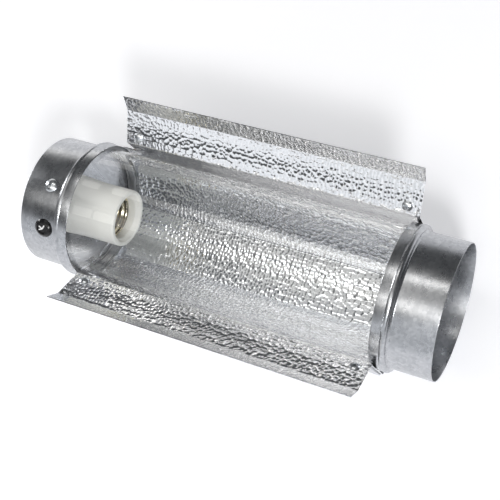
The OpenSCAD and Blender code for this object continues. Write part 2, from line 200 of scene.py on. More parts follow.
def dimple_distance(n):
    """Distance from the middle of the nearest hammer mark, on the sheet's flat pattern."""
    cell = n.add("ShaderNodeTexVoronoi", feature="SMOOTH_F1", voronoi_dimensions="2D")
    cell.inputs["Scale"].default_value = 1.0
    cell.inputs["Smoothness"].default_value = 0.25
    cell.inputs["Randomness"].default_value = 0.8
    n.link(n.pattern((1 / (3.3 * MM), 1 / (4.1 * MM), 1)), cell.inputs["Vector"])
    return cell.outputs["Distance"]


def sheet_waves(n):
    """A slow unevenness across the sheet that hardly changes along it."""
    sway = n.add("ShaderNodeTexNoise")
    sway.inputs["Scale"].default_value = 1.0
    sway.inputs["Detail"].default_value = 0.0
    n.link(n.pattern((1.5, 1 / (24 * MM), 1)), sway.inputs["Vector"])
    return n.bump(sway.outputs["Fac"], 1.0, 3.0 * MM)


def hammered_metal(name, low, high, rough):
    """Sheet with a dimple every few millimetres, a fine grain and slow waves, and painted shade in the
    dimples' hollows.
    """
    n = Nodes(name)
    n.link(n.ramp(n.noise(160, 3), *rough), n.bsdf.inputs["Roughness"])
    distance = dimple_distance(n)
    # Base colour darker in the dimples' hollows and lighter on the ridges: painted shade, mottled by a slow
    # noise.
    hollow_shade_and_mottle = n.times(n.ramp(distance, 0.1, 1.0, 0.15, 0.6), n.ramp(n.noise(40, 4), 0.6, 1.0))
    n.link(n.blend(hollow_shade_and_mottle, low, high), n.bsdf.inputs["Base Color"])
    grain = n.bump(n.noise(900, 3), 0.10, 0.0002, sheet_waves(n))
    n.link(n.bump(n.times(distance, distance), 1.0, 0.5 * MM, grain), n.bsdf.inputs["Normal"])
    n.shade(Metallic=1.0)
    return n.material


def clear_glass():
    """Glass that lets light through to the sheet behind it: to a shadow ray it is only faintly tinted."""
    n = Nodes("tube_glass_skin")
    n.shade(Base_Color=(0.97, 0.98, 0.99, 1), Roughness=0.0, IOR=1.47)
    n.bsdf.inputs["Transmission Weight"].default_value = 1.0
    drawn = n.bump(n.noise(14, 2, (0.25, 1, 1)), 0.05, 0.002)
    n.link(drawn, n.bsdf.inputs["Normal"])
    clear = n.add("ShaderNodeBsdfTransparent")
    clear.inputs["Color"].default_value = (0.97, 0.98, 0.98, 1)
    mix = n.add("ShaderNodeMixShader")
    path = n.add("ShaderNodeLightPath")
    output = n.tree.nodes["Material Output"]
    n.link(path.outputs["Is Shadow Ray"], mix.inputs["Fac"])
    n.link(n.bsdf.outputs["BSDF"], mix.inputs[1])
    n.link(clear.outputs["BSDF"], mix.inputs[2])
    n.link(mix.outputs["Shader"], output.inputs["Surface"])
    return n.material


def porcelain():
    n = Nodes("glazed_porcelain")
    n.link(n.blend(n.noise(45, 4), (0.92, 0.90, 0.84), (0.96, 0.95, 0.91)), n.bsdf.inputs["Base Color"])
    n.link(n.ramp(n.noise(260, 3), 0.60, 0.75), n.bsdf.inputs["Roughness"])
    pitted = n.bump(n.noise(520, 3), 0.25, 0.0004)
    n.link(n.bump(n.noise(60, 2), 0.10, 0.001, pitted), n.bsdf.inputs["Normal"])
    return n.material


def metal(name, low, high, rough=(0.2, 0.35), grain=700, strength=0.08):
    n = Nodes(name)
    n.link(n.blend(n.noise(90, 4), low, high), n.bsdf.inputs["Base Color"])
    n.link(n.ramp(n.noise(240, 4), *rough), n.bsdf.inputs["Roughness"])
    n.link(n.bump(n.noise(grain, 2), strength, 0.0002), n.bsdf.inputs["Normal"])
    n.shade(Metallic=1.0)
    return n.material


def rubber(name, low, high, rough=(0.38, 0.55), specular=0.5):
    n = Nodes(name)
    n.link(n.blend(n.noise(300, 4), low, high), n.bsdf.inputs["Base Color"])
    n.link(n.ramp(n.noise(500, 3), *rough), n.bsdf.inputs["Roughness"])
    n.link(n.bump(n.noise(1400, 2), 0.12, 0.0002), n.bsdf.inputs["Normal"])
    n.shade(Specular_IOR_Level=specular)
    return n.material


GALVANISED = galvanised()
STRAP_STEEL = metal("zinc_strip", (0.52, 0.53, 0.55), (0.64, 0.65, 0.67), (0.26, 0.42), 380, 0.15)
HAMMERED = hammered_metal("beaten_sheet", (0.82, 0.83, 0.85), (0.95, 0.95, 0.96), (0.07, 0.13))
HAMMERED_BACK = hammered_metal("beaten_sheet_back", (0.40, 0.41, 0.43), (0.62, 0.63, 0.65), (0.24, 0.36))
GLASS = clear_glass()
PORCELAIN = porcelain()
ZINC = metal("bright_zinc", (0.60, 0.63, 0.66), (0.74, 0.76, 0.78), (0.22, 0.34))
PLATED = metal("plated_shell", (0.66, 0.58, 0.40), (0.82, 0.76, 0.60), (0.12, 0.24))
BRASS = metal("turned_brass", (0.66, 0.46, 0.17), (0.80, 0.60, 0.28), (0.16, 0.30))
SPRING = metal("spring_wire", (0.40, 0.40, 0.42), (0.52, 0.52, 0.54), (0.22, 0.36))
BLACK_RUBBER = rubber("soft_rubber", (0.004, 0.004, 0.005), (0.012, 0.012, 0.013), (0.16, 0.30), 0.3)
# Near-white rubber for the bars in the grommet's slit: painted highlights on the slit's edges.
SLIT_HIGHLIGHT = rubber("painted_slit_highlight", (0.88, 0.88, 0.88), (0.96, 0.96, 0.96))
SILICONE = rubber("grey_silicone", (0.20, 0.20, 0.21), (0.28, 0.28, 0.29), (0.35, 0.5))


# ---------------------------------------------------------------- mesh building
def new_object(name, verts, faces, material, sharp=35):
    mesh = bpy.data.meshes.new(name)
    mesh.from_pydata([tuple(v) for v in verts], [], [tuple(f) for f in faces])
    mesh.validate()
    obj = bpy.data.objects.new(name, mesh)
    bpy.context.scene.collection.objects.link(obj)
    mesh.materials.append(material)
    face_out(mesh)
    smooth(mesh, sharp)
    return obj


def face_out(mesh):
    work = bmesh.new()
    work.from_mesh(mesh)
    bmesh.ops.recalc_face_normals(work, faces=work.faces)
    work.to_mesh(mesh)
    work.free()


def smooth(mesh, sharp=35):
    mesh.shade_smooth()
    mesh.set_sharp_from_angle(angle=math.radians(sharp))


def settle(obj, sharp=35):
    """Applies the object's modifiers to its mesh. With sharp as None its normals stay as they come."""
    seen = obj.evaluated_get(bpy.context.evaluated_depsgraph_get())
    mesh = bpy.data.meshes.new_from_object(seen)
    obj.modifiers.clear()
    obj.data = mesh
    if sharp is not None:
        smooth(mesh, sharp)
    return obj


def cut(obj, tools, sharp=35):
    """Takes the tool objects away from obj, and removes them."""
    for tool in tools:
        modifier = obj.modifiers.new("cut", "BOOLEAN")
        modifier.operation = "DIFFERENCE"
        modifier.solver = "EXACT"
        modifier.object = tool
    settle(obj, sharp)
    for tool in tools:
        bpy.data.objects.remove(tool)
    return obj


def bevelled(obj, width):
    modifier = obj.modifiers.new("edge", "BEVEL")
    modifier.width = width
    modifier.segments = 2
    modifier.limit_method = "ANGLE"
    modifier.angle_limit = math.radians(28)
    settle(obj)
    obj.modifiers.new("even", "WEIGHTED_NORMAL").keep_sharp = True
    return settle(obj, None)


def show(obj, *nodes, body="lamp"):
    """Sets a finished piece on its body, in place of the CAD nodes named."""
    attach(obj, body)
    if nodes:
        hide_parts(*nodes)
    return obj


def joined(name, objs):
    """One object from several, with their places written into the mesh."""
    work = bmesh.new()
    for obj in objs:
        mesh = obj.data.copy()
        mesh.transform(obj.matrix_world)
        work.from_mesh(mesh)
        bpy.data.meshes.remove(mesh)
    mesh = bpy.data.meshes.new(name)
    work.to_mesh(mesh)
    work.free()
    for slot in objs[0].data.materials:
        mesh.materials.append(slot)
    out = bpy.data.objects.new(name, mesh)
    bpy.context.scene.collection.objects.link(out)
    for obj in objs:
        bpy.data.objects.remove(obj)
    return out


def copies(name, source, places):
    """The source mesh at each of the places, as one object. The source is removed."""
    made = []
    for place in places:
        obj = bpy.data.objects.new("copy", source.data.copy())
        bpy.context.scene.collection.objects.link(obj)
        obj.matrix_world = place
        made.append(obj)
    bpy.context.view_layer.update()
    out = joined(name, made)
    bpy.data.objects.remove(source)
    return out


def hoop(r, x, sides):
    """Points of a circle about the tube's axis."""
    return [(x, r * math.cos(a), AXIS + r * math.sin(a)) for a in np.arange(sides) * WHOLE_TURN / sides]


def band(low, high):
    """Faces between two rings of vertex numbers. A pole is a ring that repeats one number."""
    faces = []
    for i in range(len(low)):
        j = (i + 1) % len(low)
        ring = [low[i], low[j], high[j], high[i]]
        face = [v for k, v in enumerate(ring) if v not in ring[:k]]
        if len(face) > 2:
            faces.append(face)
    return faces


def lathe(profile, turns=192, closed=True):
    """Vertices and faces of (radius, x) points turned about the tube's axis, with poles at radius 0."""
    verts, rows = [], []
    for r, x in profile:
        if r == 0:
            verts.append((x, 0, AXIS))
            rows.append([len(verts) - 1] * turns)
        else:
            rows.append(range(len(verts), len(verts) + turns))
            verts += hoop(r, x, turns)
    faces = []
    for low, high in list(zip(rows, rows[1:])) + ([(rows[-1], rows[0])] if closed else []):
        faces += band(low, high)
    return verts, faces


def turned(name, profile, material, turns=192, closed=True, sharp=35):
    return new_object(name, *lathe(profile, turns, closed), material, sharp)


def local_turned(name, profile, material, turns=64, sharp=35):
    """A profile of (radius, height) turned about the local Z axis, from pole to pole."""
    obj = turned(name, profile, material, turns, closed=False, sharp=sharp)
    lift = Matrix.Translation((0, 0, -AXIS))
    obj.data.transform(Matrix.Rotation(math.radians(-90), 4, "Y") @ lift)
    return obj


def arc(centre, radius, start, end, steps):
    """Points on an arc, angles in degrees."""
    angles = np.radians(np.linspace(start, end, steps + 1))
    return [(centre[0] + radius * math.cos(a), centre[1] + radius * math.sin(a)) for a in angles]


def box_object(name, low, high, material=ZINC):
    corners = [(x, y, z) for x in (low[0], high[0])
               for y in (low[1], high[1]) for z in (low[2], high[2])]
    faces = [(0, 1, 3, 2), (4, 6, 7, 5), (0, 4, 5, 1), (2, 3, 7, 6), (0, 2, 6, 4), (1, 5, 7, 3)]
    return new_object(name, corners, faces, material)


def rod_tool(radius, start, end):
    """A plain cylinder between two points, for drilling."""
    sides = 48
    start, end = Vector(start), Vector(end)
    way = (end - start).to_track_quat("Z", "Y").to_matrix().to_4x4()
    ring = [Vector((radius * math.cos(a), radius * math.sin(a), 0))
            for a in np.arange(sides) * WHOLE_TURN / sides]
    verts = [start + way @ v for v in ring] + [end + way @ v for v in ring]
    ends = [list(range(sides)), list(range(sides, 2 * sides))]
    return new_object("tool", verts, ends + band(*ends), ZINC)


def swept(name, points, radius, material, sides=20, closed=False):
    """A round wire along a list of points, with flat ends unless closed."""
    points = [Vector(p) for p in points]
    count = len(points)
    verts, faces = [], []
    side = None
    for i, p in enumerate(points):
        before = points[i - 1] if closed or i else p
        after = points[(i + 1) % count] if closed or i < count - 1 else p
        way = (after - before).normalized()
        side = side or way.orthogonal()
        side = (side - way * side.dot(way)).normalized()
        other = way.cross(side)
        verts += [p + radius * (math.cos(a) * side + math.sin(a) * other)
                  for a in np.arange(sides) * WHOLE_TURN / sides]
    rings = [list(range(i * sides, (i + 1) * sides)) for i in range(count)]
    for low, high in zip(rings, rings[1:] + (rings[:1] if closed else [])):
        faces += band(low, high)
    if not closed:
        faces += [rings[0], rings[-1]]
    return new_object(name, verts, faces, material, 50)


def polished(node, material, edge):
    """A copy of a CAD node's mesh with its flat faces made whole and its edges eased."""
    source = frame["nodes"][node]
    work = bmesh.new()
    work.from_mesh(source.data)
    bmesh.ops.remove_doubles(work, verts=work.verts, dist=0.002 * MM)
    bmesh.ops.dissolve_limit(work, angle_limit=math.radians(0.5), verts=work.verts, edges=work.edges)
    mesh = bpy.data.meshes.new(node + "_finished")
    work.to_mesh(mesh)
    work.free()
    obj = bpy.data.objects.new(node + "_finished", mesh)
    bpy.context.scene.collection.objects.link(obj)
    mesh.materials.append(material)
    return bevelled(obj, edge)


# ---------------------------------------------------------------- duct flanges
def duct_face(inset):
    """One face of the outlet duct as (radius, x) points, inset from the outer face."""
    collar_r, shoulder_r = SPIGOT_R + 4.1 * MM, SPIGOT_R + 4.35 * MM
    bead_r, bead_x = 3.2 * MM, COLLAR_X + 11 * MM
    neck_r, neck_x = 1.6 * MM, bead_x + 5.5 * MM
    lead = [(COLLAR_X, collar_r - inset), (bead_x - 3 * MM, shoulder_r - inset)]
    bead = arc((bead_x, BEAD_CREST_R - bead_r), bead_r - inset, 129, -8, 14)
    neck = arc((neck_x, SPIGOT_R + neck_r), neck_r + inset, 205, 270, 8)
    return [(r, x) for x, r in lead + bead + neck]


def duct_profile():
    """Closed outline of the duct wall, with rounded sheet edges at collar and mouth."""
    half = DUCT_T / 2
    outer, inner = duct_face(0), duct_face(DUCT_T)
    mouth = [(SPIGOT_R - half + y, MOUTH_X - half + x)
             for x, y in arc((0, 0), half, 90, -90, 6)]
    edge = [(outer[0][0] - half + y, COLLAR_X + half + x)
            for x, y in arc((0, 0), half, 270, 90, 6)]
    return edge + outer[1:] + mouth + inner[:0:-1]


def mirrored_x(obj):
    """Turns a piece of the outlet end into its twin at the inlet end."""
    obj.data.transform(Matrix.Diagonal((-1, 1, 1, 1)))
    face_out(obj.data)
    return obj


def wall_place(x, angle, height):
    """Local frame on the duct wall: X along the tube, Z pointing outward."""
    turn = Matrix.Rotation(math.radians(angle), 4, "X") @ Matrix.Rotation(math.radians(-90), 4, "X")
    return Matrix.Translation((x, 0, AXIS)) @ turn @ Matrix.Translation((0, 0, height))


def wall_drill(radius, angle):
    """A tool that drills the inlet's wall at one of its fittings."""
    place = wall_place(FITTING_X, angle, 0)
    start, end = [place @ Vector((0, 0, SPIGOT_R + reach)) for reach in (-8 * MM, 8 * MM)]
    return rod_tool(radius, start, end)


def tie_drill(x):
    """A tool that drills a bead from below for the screw that ties it to its strap."""
    low = AXIS - BEAD_CREST_R
    return rod_tool(2.2 * MM, (x, 0, low - 3 * MM), (x, 0, low + 6 * MM))


def make_flanges():
    outlet = turned("outlet_duct", duct_profile(), GALVANISED)
    inlet = mirrored_x(turned("inlet_duct", duct_profile(), GALVANISED))
    cut(outlet, [tie_drill(TIE_X)])
    drills = [wall_drill(2.7 * MM, 90), wall_drill(2.7 * MM, 270), wall_drill(6.5 * MM, GROMMET_ANGLE),
              wall_drill(2.2 * MM, EARTH_ANGLE), tie_drill(-TIE_X)]
    cut(inlet, drills)
    show(outlet, "outlet_flange")
    show(inlet, "inlet_flange")


# ---------------------------------------------------------------- glass and seals
def make_glass():
    """The tube, with fire-polished ends.

    Light that the sheet has already reflected passes the tube unseen, so that the sheet's many reflections
    aren't lost in it.
    """
    half = GLASS_T / 2
    mid = TUBE_R - half
    right = [(mid + y, TUBE_X - half + x) for x, y in arc((0, 0), half, 90, -90, 8)]
    left = [(mid + y, -TUBE_X + half + x) for x, y in arc((0, 0), half, 270, 90, 8)]
    stations = np.linspace(-TUBE_X + half, TUBE_X - half, 12)[1:-1]
    outer = [(TUBE_R, x) for x in stations]
    inner = [(TUBE_R - GLASS_T, x) for x in stations[::-1]]
    tube = turned("tube_glass", left + outer + right + inner, GLASS, 256)
    tube.visible_glossy = tube.visible_diffuse = False
    show(tube, "glass_tube")


def make_seals():
    """Ring round each end of the glass, with a rounded front and a lip behind the glass's edge."""
    low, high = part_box("outlet_seal")
    outer_r = high.z - AXIS
    lip_r = TUBE_R - 3 * MM
    bore_r = TUBE_R + 0.05 * MM
    behind = TUBE_X + 0.05 * MM
    round_r = 0.6 * MM
    mid = (outer_r + bore_r) / 2
    front = [(mid + 0.9 * (outer_r - bore_r) / 2 * math.cos(a), low.x + round_r * (1 - math.sin(a)))
             for a in np.linspace(math.pi, 0, 9)]
    profile = [(bore_r, behind), (bore_r, low.x + round_r)] + front
    profile += [(outer_r, low.x + round_r), (outer_r, high.x), (lip_r, high.x), (lip_r, behind)]
    show(turned("outlet_seal_ring", profile, SILICONE), "outlet_seal")
    show(mirrored_x(turned("inlet_seal_ring", profile, SILICONE)), "inlet_seal")


# ---------------------------------------------------------------- hammered reflector
def bend_points(a, b, c, radius, steps=5):
    """Arc that rounds the corner b between a and c."""
    a, b, c = Vector(a), Vector(b), Vector(c)
    u, v = (a - b).normalized(), (c - b).normalized()
    half = u.angle(v) / 2
    middle = (u + v).normalized()
    centre = b + middle * radius / math.sin(half)
    reach = radius / math.tan(half)
    first, last = b + u * reach - centre, b + v * reach - centre
    sweep = first.angle_signed(last)
    return [centre + Matrix.Rotation(-sweep * k / steps, 2) @ first for k in range(steps + 1)]


def reflector_path():
    """Inner face of the sheet from tip to tip as (y, z) about the tube's axis."""
    bend = Vector((TROUGH_R, SIDE_H))
    fold = bend + WING_W * Vector((math.cos(WING_ANGLE), math.sin(WING_ANGLE)))
    tip = fold + LIP_W * Vector((math.cos(LIP_ANGLE), math.sin(LIP_ANGLE)))
    half = [Vector((SIDE_H, -TROUGH_R)), Vector((TROUGH_R, -SIDE_H)), bend, fold, tip]
    corners = [Vector((-p.x, p.y)) for p in reversed(half)] + half
    path = [corners[0]]
    for i in range(1, len(corners) - 1):
        path += bend_points(corners[i - 1], corners[i], corners[i + 1], BEND_R)
    return path + [corners[-1]]


def split_path(path, step, marks):
    """The path in even numbers of short steps between its points and the heights in marks."""
    dense = [path[0]]
    for a, b in zip(path, path[1:]):
        rise = b.y - a.y
        crossed = {(m - a.y) / rise for m in marks if abs(rise) > 1e-9 and 0 < (m - a.y) / rise < 1}
        stops = sorted({0.0, 1.0} | crossed)
        for s0, s1 in zip(stops, stops[1:]):
            length = (b - a).length * (s1 - s0)
            count = 2 * max(1, round(length / step / 2))
            dense += [a.lerp(b, s0 + (s1 - s0) * k / count) for k in range(1, count + 1)]
    return dense


def hammer_marks(s, x, pitch, seed):
    """Height of the hammered skin, 0 at the foot of a dimple and about 1 on the ridges."""
    draw = np.random.default_rng(seed)
    rows, columns = int(s.max() / pitch) + 4, int((x.max() - x.min()) / pitch) + 4
    shift = draw.uniform(-0.36, 0.36, (rows, columns, 2))
    size = draw.uniform(0.75, 1.35, (rows, columns))
    u, v = s / pitch + 1, (x - x.min()) / pitch + 1
    row, column = np.floor(u).astype(int), np.floor(v).astype(int)
    sharpness = 9.0
    total = np.zeros_like(s)
    for dr in (-1, 0, 1):
        for dc in (-1, 0, 1):
            r, c = np.clip(row + dr, 0, rows - 1), np.clip(column + dc, 0, columns - 1)
            du = u - (row + dr + 0.5 + shift[r, c, 0])
            dv = v - (column + dc + 0.5 + shift[r, c, 1])
            total += np.exp(-sharpness * (du * du + dv * dv) * size[r, c])
    return np.clip(-np.log(total + 1e-9) / sharpness / 0.6, 0, 1)


def sheet_section(step):
    """Points across the sheet, the way its front faces at each, and their places on the flat pattern."""
    across = np.array([tuple(p) for p in split_path(reflector_path(), step, [RELIEF_Z])])
    way = np.gradient(across, axis=0)
    way /= np.linalg.norm(way, axis=1)[:, None]
    facing = np.stack([-way[:, 1], way[:, 0]], 1)
    flat = np.cumsum(np.r_[0, np.linalg.norm(np.diff(across, axis=0), axis=1)])
    return across, facing, flat


def sheet_stations(step):
    """Places along the sheet, and how many of the steps between them are under the inlet collar."""
    relief = 2 * round((WING_X0 - sheet_low.x) / step / 2)
    rest = 2 * round((sheet_high.x - WING_X0) / step / 2)
    under_collar = np.linspace(sheet_low.x, WING_X0, relief + 1)
    return np.r_[under_collar, np.linspace(WING_X0, sheet_high.x, rest + 1)[1:]], relief


def sheet_faces(n_s, n_x, kept):
    """Front faces on each step of the grid, back faces on every second step, and the edges between them."""
    def front(i, j):
        return i * n_x + j

    def back(i, j):
        return n_s * n_x + i * n_x + j

    faces, sides = [], {}
    for i in range(n_s - 1):
        for j in range(n_x - 1):
            if kept(i, j, 1):
                faces.append((front(i, j), front(i, j + 1), front(i + 1, j + 1), front(i + 1, j)))
    for i in range(0, n_s - 1, 2):
        for j in range(0, n_x - 1, 2):
            if not kept(i, j, 2):
                continue
            ring = [(i, j), (i + 2, j), (i + 2, j + 2), (i, j + 2)]
            faces.append([back(*p) for p in ring])
            for p, q in zip(ring, ring[1:] + ring[:1]):
                if (q, p) in sides:
                    del sides[(q, p)]
                else:
                    sides[(p, q)] = True
    for p, q in sides:
        middle = ((p[0] + q[0]) // 2, (p[1] + q[1]) // 2)
        faces.append([back(*q), back(*p), front(*p), front(*middle), front(*q)])
    return faces


def duller_back(obj, first_back_vertex):
    """Gives the back of the sheet, and only the back, its duller finish."""
    obj.data.materials.append(HAMMERED_BACK)
    for face in obj.data.polygons:
        face.material_index = int(first_back_vertex <= min(face.vertices))


def lay_pattern(obj, pattern):
    """Stores each vertex's place on the sheet's flat pattern as UV coordinates."""
    corners = np.empty(len(obj.data.loops), dtype=int)
    obj.data.loops.foreach_get("vertex_index", corners)
    obj.data.uv_layers.new(name="flat_pattern").data.foreach_set("uv", pattern[corners].ravel())


def make_reflector():
    """One hammered sheet, with its marks as real hollows on both faces."""
    step, depth, pitch, seed = 1.25 * MM, 0.22 * MM, 4.2 * MM, 11
    across, facing, flat = sheet_section(step)
    xs, relief = sheet_stations(step)
    s_grid, x_grid = np.meshgrid(flat, xs, indexing="ij")
    height = depth * (hammer_marks(s_grid, x_grid, pitch, seed) - 0.5)
    trough = (across[:, 1] <= RELIEF_Z + 1e-9) & (abs(across[:, 0]) <= TROUGH_R + 1e-6)

    def skin(offset):
        yz = across[:, None, :] + facing[:, None, :] * (height[:, :, None] + offset)
        return np.stack([x_grid, yz[:, :, 0], yz[:, :, 1] + AXIS], 2).reshape(-1, 3)

    def kept(i, j, span):
        return j >= relief or (trough[i] and trough[i + span])

    verts = np.concatenate([skin(-depth / 2), skin(depth / 2 - SHEET_T)])
    faces = sheet_faces(*s_grid.shape, kept)
    used = sorted({v for f in faces for v in f})
    number = {v: k for k, v in enumerate(used)}
    faces = [[number[v] for v in f] for f in faces]
    obj = new_object("hammered_reflector", verts[used], faces, HAMMERED, 60)
    duller_back(obj, sum(v < s_grid.size for v in used))
    pattern = np.stack([x_grid.ravel(), s_grid.ravel()], 1)
    lay_pattern(obj, np.concatenate([pattern, pattern])[used])
    show(obj, "reflector")


# ---------------------------------------------------------------- screws
def threaded(name, radius, depth, pitch, low, high, material):
    """A threaded shank along local Z, from low to high, closed at both ends."""
    sides, per_turn = 32, 6
    rows = max(2, int((high - low) / pitch * per_turn))
    verts, faces = [], []
    for k in range(rows + 1):
        z = low + (high - low) * k / rows
        taper = min(1.0, (z - low) / pitch + 0.3)
        for i in range(sides):
            phase = (z / pitch - i / sides) % 1
            r = radius - depth * taper * abs(2 * phase - 1)
            a = WHOLE_TURN * i / sides
            verts.append((r * math.cos(a), r * math.sin(a), z))
    rings = [list(range(k * sides, (k + 1) * sides)) for k in range(rows + 1)]
    for lower, upper in zip(rings, rings[1:]):
        faces += band(lower, upper)
    return new_object(name, verts, faces + [rings[0], rings[-1]], material, 60)


def cross_tool(reach, width, top, bottom):
    """A tapering cross, for the recess in a screw head."""
    plan, arm = [], [(reach, -width), (reach, width), (width, width)]
    for _ in range(4):
        plan += arm
        arm = [(-y, x) for x, y in arm]
    verts = [(x, y, top) for x, y in plan] + [(x * 0.45, y * 0.45, bottom) for x, y in plan]
    ends = [list(range(len(plan))), list(range(len(plan), len(verts)))]
    return new_object("tool", verts, ends + band(*ends), ZINC)


def dome_profile(radius, height, edge):
    """Head outline from the middle of its underside up over the dome to its top."""
    rise = height - edge
    dome_r = (radius * radius + rise * rise) / (2 * rise)
    start = math.degrees(math.acos(radius / dome_r)) if dome_r > radius else 0
    dome = arc((0, height - dome_r), dome_r, start, 90, 12)
    rim = [(0, 0), (radius - 0.25 * MM, 0), (radius, 0.2 * MM)]
    return rim + dome[:-1] + [(0, height)]


def dome_screw(radius, head_r, head_h, length, pitch, material):
    """A screw with its head's underside at the origin and its shank pointing down."""
    head = local_turned("head", dome_profile(head_r, head_h, 0.5 * MM), material, 64)
    cut(head, [cross_tool(head_r * 0.5, head_r * 0.095, head_h + 1 * MM, head_h * 0.22)], 30)
    shank = threaded("shank", radius, 0.32 * MM, pitch, -length, 0.05 * MM, material)
    return joined("screw", [head, shank])


def corner_places(lift):
    """Places of the four screws in the wings' corners, each with its head turned its own way."""
    y = TROUGH_R + CORNER_SCREW_S * math.cos(WING_ANGLE)
    z = AXIS + SIDE_H + CORNER_SCREW_S * math.sin(WING_ANGLE)
    return [Matrix.Translation((x, side * y, z)) @ Matrix.Rotation(side * WING_ANGLE, 4, "X")
            @ Matrix.Translation((0, 0, lift)) @ Matrix.Rotation(0.7 * k + 0.3, 4, "Z")
            for k, (x, side) in enumerate((x, side) for x in STRAP_X for side in (1, -1))]


def make_screws():
    """All the screws. m4 and m5 hold a thread's radius and its head's radius and height."""
    m4 = (2 * MM, 4.75 * MM, 2.2 * MM)
    m5 = (2.5 * MM, 6.3 * MM, 2.9 * MM)
    corner = dome_screw(*m4, 8 * MM, 0.7 * MM, ZINC)
    show(copies("corner_screw_set", corner, corner_places(0.05 * MM)), "corner_screws")
    bracket = dome_screw(*m5, 9 * MM, 0.8 * MM, ZINC)
    places = [wall_place(FITTING_X, angle, SPIGOT_R + 0.05 * MM) @ Matrix.Rotation(turn, 4, "Z")
              for angle, turn in ((90, 0.35), (270, 1.1))]
    show(copies("bracket_screw_set", bracket, places), "bracket_screws")
    earth = dome_screw(*m4, 9 * MM, 0.7 * MM, BRASS)
    show(copies("earth_screw_set", earth, [wall_place(FITTING_X, EARTH_ANGLE, SPIGOT_R + 0.05 * MM)]),
         "earth_screw")
    tie = dome_screw(*m4, 6 * MM, 1.4 * MM, ZINC)
    tie_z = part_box("collar_screws")[0].z + m4[2]
    flip = Matrix.Rotation(math.pi, 4, "X")
    places = [Matrix.Translation((x, 0, tie_z)) @ flip @ Matrix.Rotation(turn, 4, "Z")
              for x, turn in ((-TIE_X, 0.2), (TIE_X, 0.9))]
    show(copies("collar_screw_set", tie, places), "collar_screws")
    low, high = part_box("holder_screws")
    hold = dome_screw(*m4, high.x - low.x - m4[2], 0.7 * MM, ZINC)
    reach = (high.z - low.z) / 2 - m4[1]
    quarter = Matrix.Rotation(math.radians(-90), 4, "Y")
    places = [Matrix.Translation((low.x + m4[2], 0, AXIS + z)) @ quarter
              @ Matrix.Rotation(z * 900, 4, "Z") for z in (-reach, reach)]
    show(copies("holder_screw_set", hold, places), "holder_screws")


# ---------------------------------------------------------------- lampholder
def make_lampholder():
    """Porcelain body: a stepped back with a recess, a rounded rim, and the cavity that holds the shell."""
    back, rim = holder_low.x, holder_high.x
    recess_x, floor_x = back + 7 * MM, rim - 46 * MM
    mouth_r, rim_r, lip_r = 23.4 * MM, 1.8 * MM, 1.2 * MM
    cavity_r, cavity_x = ENTRY_R + 0.4 * MM, SHELL_X1 + 0.3 * MM
    well_r, well_x = 5.4 * MM, floor_x - 8 * MM
    stem_r = 2.45 * MM
    foot_r = HOLDER_R - 1.5 * MM
    ease = 0.6 * MM
    recess_r = 20 * MM
    outline = [(stem_r, recess_x), (recess_r, recess_x), (recess_r, back + ease), (recess_r + ease, back),
               (foot_r - ease, back), (foot_r, back + ease), (foot_r, back + 9 * MM),
               (HOLDER_R, back + 10 * MM)]
    outline += [(HOLDER_R, x) for x in np.linspace(back + 14 * MM, rim - rim_r - 1 * MM, 10)]
    outline += arc((HOLDER_R - rim_r, rim - rim_r), rim_r, 0, 90, 10)
    outline += arc((mouth_r + lip_r, rim - lip_r), lip_r, 90, 180, 8)
    outline += [(ENTRY_R + 0.6 * MM, rim - 4.2 * MM), (ENTRY_R + 0.1 * MM, rim - 4.8 * MM),
                (ENTRY_R, rim - 5.6 * MM), (ENTRY_R, cavity_x + ease), (ENTRY_R + 0.1 * MM, cavity_x),
                (cavity_r, cavity_x), (cavity_r, floor_x), (well_r, floor_x), (well_r, well_x),
                (stem_r, well_x)]
    body = turned("porcelain_body", outline, PORCELAIN, 160)
    show(cut(body, holder_tools(back, recess_x, floor_x)), "lampholder_body")


def holder_tools(back, recess_x, floor_x):
    """Tools for the porcelain's two side slots, its two fixing holes and the hole behind one terminal."""
    out = 24 * MM
    over = 1 * MM
    tools = []
    for offset in (-out, out):
        tools.append(box_object("tool", (back - over, offset - 5 * MM, AXIS - 4 * MM),
                                (back + 5 * MM, offset + 5 * MM, AXIS + 4 * MM)))
        tools.append(rod_tool(2.05 * MM, (back - over, 0, AXIS + offset),
                              (back + 12 * MM, 0, AXIS + offset)))
    terminal_y = -15 * MM
    tools.append(rod_tool(1.75 * MM, (recess_x - over, terminal_y, AXIS),
                          (floor_x + over, terminal_y, AXIS)))
    return tools


def shell_skin(xs, offset, sides):
    """Rings of points along the shell's threaded wall, whose wave runs out at both ends."""
    depth = 1.5 * MM
    verts = []
    for x in xs:
        fade = min(1, (max(xs) - x) / (1.6 * MM), (x - min(xs)) / (2 * MM))
        for i in range(sides):
            a = WHOLE_TURN * i / sides
            wave = 0.5 - 0.5 * math.cos(WHOLE_TURN * (x / THREAD_PITCH) + a)
            r = SHELL_R + offset - depth * wave * fade
            verts.append((x, r * math.cos(a), AXIS + r * math.sin(a)))
    return verts


def make_screw_shell():
    """Thin shell with the lamp's rolled thread as a true helix, and a floor round the centre contact."""
    wall = 0.4 * MM
    sides, per_turn = 144, 16
    floor = SHELL_X0 + wall
    end = floor + 1.2 * MM
    rows = int((SHELL_X1 - end) / THREAD_PITCH * per_turn)
    xs = np.linspace(SHELL_X1, end, rows + 1)
    verts = shell_skin(xs, 0, sides)
    for r, x in ((SHELL_R - 0.5 * MM, SHELL_X0), (8 * MM, SHELL_X0), (8 * MM, floor),
                 (SHELL_R - 1.2 * MM, floor)):
        verts += hoop(r, x, sides)
    verts += shell_skin(xs[::-1], -wall, sides)
    rings = [list(range(k, k + sides)) for k in range(0, len(verts), sides)]
    faces = []
    for low, high in zip(rings, rings[1:] + rings[:1]):
        faces += band(low, high)
    show(new_object("thread_shell", verts, faces, PLATED, 40), "screw_shell")


